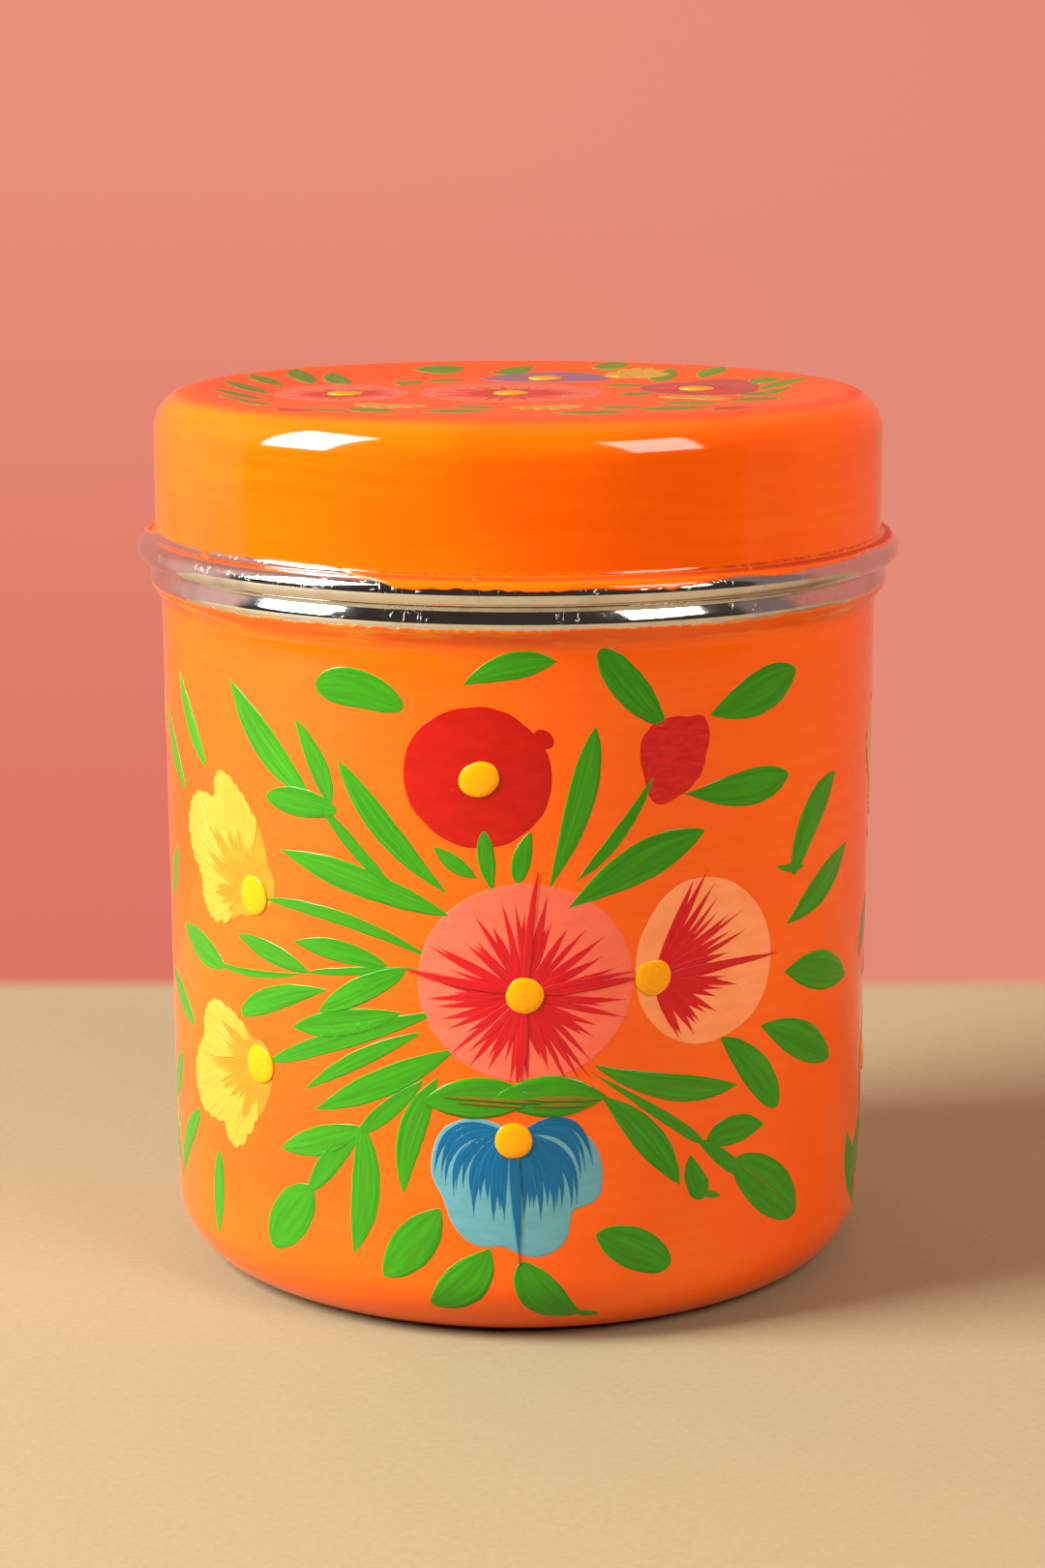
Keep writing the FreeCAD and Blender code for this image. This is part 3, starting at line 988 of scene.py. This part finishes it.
# Round a blossom at (0, 0) on the back
SPRAY_LEAVES = (
    (-8, 10, -22, 25, 3.6, 1, 0.6, 1.1, 0.9), (-9, 7, -31, 13, 4, -0.5, 0.55, 0.8, 1.1),
    (8, 9, 22, 22, 4.4, 0.8, 0.58, 1.1, 0.9), (4, 12, 9, 31, 3.4, -0.8, 0.6, 1.1, 0.8),
    (-12, -3, -33, -7, 3.6, 0.4, 0.5, 0.9, 0.9), (-10, -9, -27, -20, 3.8, 0.3),
    (-8, -11, -15, -29, 3.8, -1.2, 0.45), (8, -12, 29, -17, 3.7, -1.2, 0.6),
    (7, -14, 20, -30, 4.2, 0.8, 0.55), (13, -1, 33, 2, 4.4, 0.7), (11, 5, 31, 13, 3.4, -0.6),
    (-3, 14, -5, 21, 2.2, 0.2, 0.5, 1, 0.5), (1, 14.5, 2.5, 21, 2.4, 0.3, 0.45, 0.5),
    (-34, 24, -24, 33, 4.4, 0.8), (27, 27, 38, 34, 5, -0.6, 0.55, 0.8, 0.7),
    (-29, -28, -38, -36, 5.6, 0.5, 0.5, 0.7, 0.6), (2, -36, 13, -42, 5.4, -1, 0.5, 0.7),
    (-6, -36, -15, -43, 5.6, 0.8, 0.5, 0.9, 0.7), (31, -27, 40, -36, 5.2, 0.5, 0.5, 0.7, 0.6),
)

# Between the bunches on the back
BACK_LEAVES = (
    (-157, 60, -142, 64, 4.4, 0.7), (-155, 55, -141, 49, 4.6, -0.5), (140, 44, 152, 40, 3.6, 0.5),
    (156, 68, 160, 82, 4.4, 0.8), (144, 88, 158, 91, 4.6, 0.6), (-135, 20, -146, 8, 5.6, 0.5),
    (126, 20, 134, 9, 5.2, 0.5), (80, 84, 88, 92, 4.4, 0.5), (60, 20, 66, 8, 5.2, -0.5),
    (64, 44, 72, 52, 4, 0.6), (-88, 90, -77, 92.5, 4.2, -0.6), (-134, 87, -122, 91, 4.6, 0.6),
    (-152, 38, -146, 26, 4.6, 0.6),
)

LID_LEAVES = (
    (-31, -15, -22, -20, 5, -0.6), (-23, -14, -16, -20, 4.6, -0.4), (-13, -20, -4, -18, 5, 0.4),
    (-9, -12, -3, -15, 4, 0.4), (4.5, -21, 14.5, -19, 4.8, -0.6), (10, -13, 17, -12, 4.2, -0.6),
    (16, -17, 26, -13, 4.8, 0.5), (19, -7, 28, -7, 4.4, 0.5), (29, -3, 38, 1, 4.6, 0.6),
    (31, 5, 39, 10, 4.4, 0.5), (34, 13, 42, 15, 4.2, 0.5), (15, 4, 19, 10, 3.8, 0.5),
    (12, 20, 19, 22, 4.2, 0.5), (-34, -6, -41, -9, 4.4, 0.5), (-35, 1, -43, 0, 4.6, 0.5),
    (-35, 8, -42, 12, 4.6, 0.5), (-34, 17, -39, 21, 4.2, 0.5), (-30, 22, -33, 30, 4.4, 0.5),
    (-25, 23, -27.5, 31, 4.2, 0.5), (-17, 22, -14.5, 30, 4, 0.5), (-13, 27, -8, 33, 4, 0.5),
    (-16, 38, -8, 41, 4.2, -0.6), (-4, 38, 2, 42, 3.6, -0.6), (11, 40, 17, 40, 4, 0.5),
    (21, 28, 23, 36, 4.2, 0.5), (27, 28, 31, 33, 4.2, 0.5), (34, 22, 38, 18, 3.8, -0.5),
    (-12, -36, -18, -42, 4.2, 0.5), (-4, -34, -1, -43, 4.4, 0.5), (23, -36, 29, -32, 4, -0.5),
    (36, -23, 33, -15, 3.6, 0.5), (-37, -24, -31, -30, 4, 0.5), (-2, -28, 6, -30, 4, 0.4),
)


def front_painting():
    wall = Painting("front", wall_skin, "canister", 11, "leaves", "pink_petals")
    wall.petal("red_petals", (-5.3, 77), oval(9.8, 9.2, -15), 0.2)
    wall.petal("red_petals", (3.3, 82), oval(1.5, 1.1, -40))
    wall.dot((-5, 76.8), 2.7, 2.3)
    wall.petal("bud", (21.3, 79), BUD, 0.3)
    wall.full_blossom("pink_petals", (1, 49.9), (14.3, 13.3), (0.9, 48.3), 14.2, 52)
    wall.side_blossom("peach_petals", (27, 51), EGG, (18.1, 49.9), -76, 69, 17, 23)
    for *base, tip_x, tip_y, width in (
        (1, 50, 2.6, 64.8, 1.1), (-1, 49, -15, 51.3, 1.3), (0.8, 47, 0.3, 36.8, 1), (3, 48.6, 16.3, 50, 1.5),
        (3, 49, 15.5, 51, 0.8), (20, 50, 38.3, 50.5, 1.2),
    ):
        wall.use("spikes").hair(base, (tip_x, tip_y), width, 0.2, 0.3, 0.5, 1, 0.13)
    wall.blue_blossom((0, 24), (-0.6, 28.7))
    wall.yellow_blossom((-39.2, 58.2), TULIP, 88, 216)
    wall.yellow_blossom((-38.6, 35), LILY, 128, 262)
    wall.grow(FRONT_LEAVES)
    leaves = wall.use("leaves")
    leaves.leaf((-12.5, 33.5), (2, 34.3), 5.6, 0.5, 0.5, 0.8, 0.8, thin=1, under=0.05)
    leaves.leaf((-3, 34.4), (11.8, 34.3), 5.7, 0.3, 0.5, 0.8, 1, thin=1, under=0.05)
    streaks = wall.use("leaf_streaks")
    for *base, tip_x, tip_y, width in (
        (-10, 34.4, 3, 33.8, 0.5), (-8, 33.7, 1, 33.2, 0.4), (0, 34.3, 11, 34, 0.7),
        (2, 33.4, 9.5, 33.2, 0.5),
    ):
        streaks.leaf(base, (tip_x, tip_y), width, 0.2, 0.5, 1, 1.2, thickness=0.02, under=0.18, ragged=0.2)
    wall.build()


def spray(wall, x, y, flip):
    """A bunch of leaves on the back, mirrored where flip is -1."""
    wall.grow(
        (x + flip * across, y + up, x + flip * tip_across, y + tip_up, width, flip * bow, *ends)
        for across, up, tip_across, tip_up, width, bow, *ends in SPRAY_LEAVES
    )


def back_painting():
    wall = Painting("back", wall_skin, "canister", 47)
    spray(wall, 100, 48, 1)
    wall.full_blossom("peach_petals", (100, 48), (12.2, 12), (100.4, 48.6), 10.6, 34)
    spray(wall, -105, 50, -1)
    wall.full_blossom("pink_petals", (-105, 50), (13, 12.4), (-104.7, 49), 11.4, 36)
    for place, size in (((-147, 76), (9.4, 9)), ((76, 27), (8.2, 8))):
        wall.petal("red_petals", place, oval(*size, 25), 0.35)
        wall.dot(place)
    wall.petal("bud", (113, 82), BUD, 0.3)
    wall.petal("bud", (-86, 81), BUD, 0.3)
    wall.blue_blossom((148, 24), (147.4, 28.7))
    wall.blue_blossom((-103, 21), (-103.6, 25.7))
    wall.yellow_blossom((150, 52), LILY, 128, 262)
    wall.yellow_blossom((83, 68), TULIP, 88, 216)
    wall.grow(BACK_LEAVES)
    wall.build()


def lid_painting():
    top = Painting("lid", lid_skin, "lid", 83, "leaves")
    top.full_blossom("pink_petals", (-25, 9), (9.6, 13), (-24.5, 7), 9.6, 34)
    top.full_blossom("pink_petals", (-1, 10), (13, 15), (-1, 8), 12.2)
    top.full_blossom("rose_petals", (26, 16), (8.6, 10.5), (25.6, 15), 8.2, 28)
    top.full_blossom("mauve_petals", (4, 33), (9.6, 5.6), (4, 33), 5, 24)
    top.full_blossom("peach_petals", (14, -33), (7.2, 6.6), (14, -33), 6.2, 26)
    top.petal("bud", (30, -16), oval(3.8, 4.4))
    top.petal("bud", (-27, -33), oval(4.4, 3.8))
    for x, y, turn in ((-17, -9, 250), (3.5, -11, 290), (24, 0, 60), (17, 33, 80)):
        for i in range(7):
            angle = radians(turn + 26 * (i - 3))
            rim = (x + 5.5 * cos(angle), y + 5.5 * sin(angle))
            top.use("yellow_petals").hair(rim, (x, y), 2.2, 0, 0.35, 0.5, 1.2)
    top.grow(LID_LEAVES, (0.3, 0.9))
    top.build()


# ---- the object


def dress():
    """Stands finer pieces in for the CAD nodes and paints them."""
    metal = steel()
    coating = enamel()
    shells = (
        (steel_sheet("canister_steel", CANISTER, metal), "canister_shell", "canister", "polished_steel"),
        (steel_sheet("lid_steel", LID, metal), "lid_shell", "lid", "polished_steel"),
        (canister_enamel(coating), "canister_paint", "canister", "orange_enamel"),
        (lid_enamel(coating), "lid_paint", "lid", "orange_enamel"),
    )
    for piece, node, body, slot in shells:
        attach(piece, body)
        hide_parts(node)
    front_painting()
    back_painting()
    lid_painting()


# ---- floor, light and camera


def pale_floor():
    """A plain, pale round of card, cut off straight behind the canister, where it fades out."""
    s = Shader("pale_floor")
    place = s.place()
    fibres = s.noise(place, 900, 4, 0.7)
    s.set(Base_Color=s.mix(s.ramp(fibres, 0.3, 0.7), (0.262, 0.193, 0.1), (0.287, 0.213, 0.113)))
    s.set(Roughness=0.8, Normal=s.relief(fibres, 0.1, 0.3))
    gone = s.ramp(s.axes(place)["Y"], (FLOOR_BACK - FLOOR_FADE) * MM, FLOOR_BACK * MM)
    clear = s.node("BsdfTransparent", {}).outputs[0]
    fade = s.node("MixShader", {0: gone, 1: s.surface.outputs[0], 2: clear}).outputs[0]
    s.feed(s.tree.nodes["Material Output"].inputs["Surface"], fade)
    corner = degrees(asin(FLOOR_BACK / FLOOR_REACH))
    turns = [radians(180 - corner + (180 + 2 * corner) * i / 90) for i in range(91)]
    corners = [(FLOOR_REACH * cos(a), FLOOR_REACH * sin(a), 0) for a in turns]
    mesh_object("floor", corners, [tuple(range(len(corners)))], s.material)


def softbox(name, angle_right, height, distance, wide, high, radiance, tint, mirrored):
    """A rectangular soft light that faces the canister, angle_right degrees to the right of the camera's
    side and height degrees up. It shows in the gloss where it is mirrored."""
    light = bpy.data.lights.new(name, "AREA")
    light.shape = "RECTANGLE"
    light.size = wide
    light.size_y = high
    light.energy = radiance * pi * wide * high
    light.color = tint
    lamp = bpy.data.objects.new(name, light)
    lamp.visible_glossy = mirrored
    target = Vector((0, 0, 0.06))
    angle = radians(angle_right)
    rise = radians(height)
    flat = distance * cos(rise)
    lamp.location = target + Vector((flat * sin(angle), -flat * cos(angle), distance * sin(rise)))
    lamp.rotation_euler = (target - lamp.location).to_track_quat("-Z", "Y").to_euler()
    bpy.context.scene.collection.objects.link(lamp)


def room():
    """Soft studio light: pink behind the canister, dark where the camera stands. The camera itself
    sees a plain backdrop on every side."""
    world = bpy.data.worlds.new("studio")
    bpy.context.scene.world = world
    world.use_nodes = True
    n = Nodes(world.node_tree)
    x, y, z = n.axes(n.node("TexCoord", {}).outputs["Generated"])
    far_wall = n.mix(n.ramp(x, 0.9, -0.3), (0.64, 0.22, 0.17), (0.8, 0.29, 0.22))
    wall = n.mix(n.ramp(x, -0.6, -0.95), far_wall, (0.84, 0.5, 0.45))
    beside = n.ramp(n.math("MULTIPLY_ADD", x, 0.3, y), -0.04, 0.05)
    near_wall = n.mix(beside, (0.045, 0.032, 0.028), (0.23, 0.17, 0.16))
    sides = n.mix(n.ramp(y, 0.02, 0.14), near_wall, wall)
    above = n.ramp(n.math("MULTIPLY_ADD", y, 0.5, z), 0.8, 1.02)
    sky = n.mix(above, sides, (0.36, 0.29, 0.25))
    backdrop = n.mix(n.ramp(z, -0.28, 0.05), (0.72, 0.175, 0.125), (0.8, 0.285, 0.205))
    backdrop = n.mix(n.ramp(x, -0.08, 0.16), backdrop, (0.77, 0.262, 0.193))
    seen = n.mix(n.node("LightPath", {}).outputs["Is Camera Ray"], sky, backdrop)
    n.feed(n.tree.nodes["Background"].inputs["Color"], seen)
    softbox("key", -73, 34, 1.1, 0.47, 0.7, 39, (0.9, 1, 1), True)
    softbox("fill", 46.5, 36, 1.1, 0.44, 0.56, 13, (0.94, 0.87, 0.8), True)
    softbox("back_left", -150, 62, 1.4, 0.9, 0.6, 1.6, (1, 0.4, 0.32), False)
    softbox("back_right", 150, 62, 1.4, 0.9, 0.6, 2.4, (1, 0.36, 0.28), False)


def camera():
    """Stands a little above the lid, at the height that shows a sliver of its top."""
    data = bpy.data.cameras.new("camera")
    data.lens = 77
    data.sensor_width = 36
    data.clip_start = 0.01
    eye = bpy.data.objects.new("camera", data)
    eye.location = (0.00058, -0.4681, 0.16235)
    eye.rotation_euler = (radians(90 - 11.64), 0, 0)
    bpy.context.scene.collection.objects.link(eye)
    bpy.context.scene.camera = eye


dress()
pale_floor()
room()
camera()
bpy.context.scene.view_settings.view_transform = "Standard"
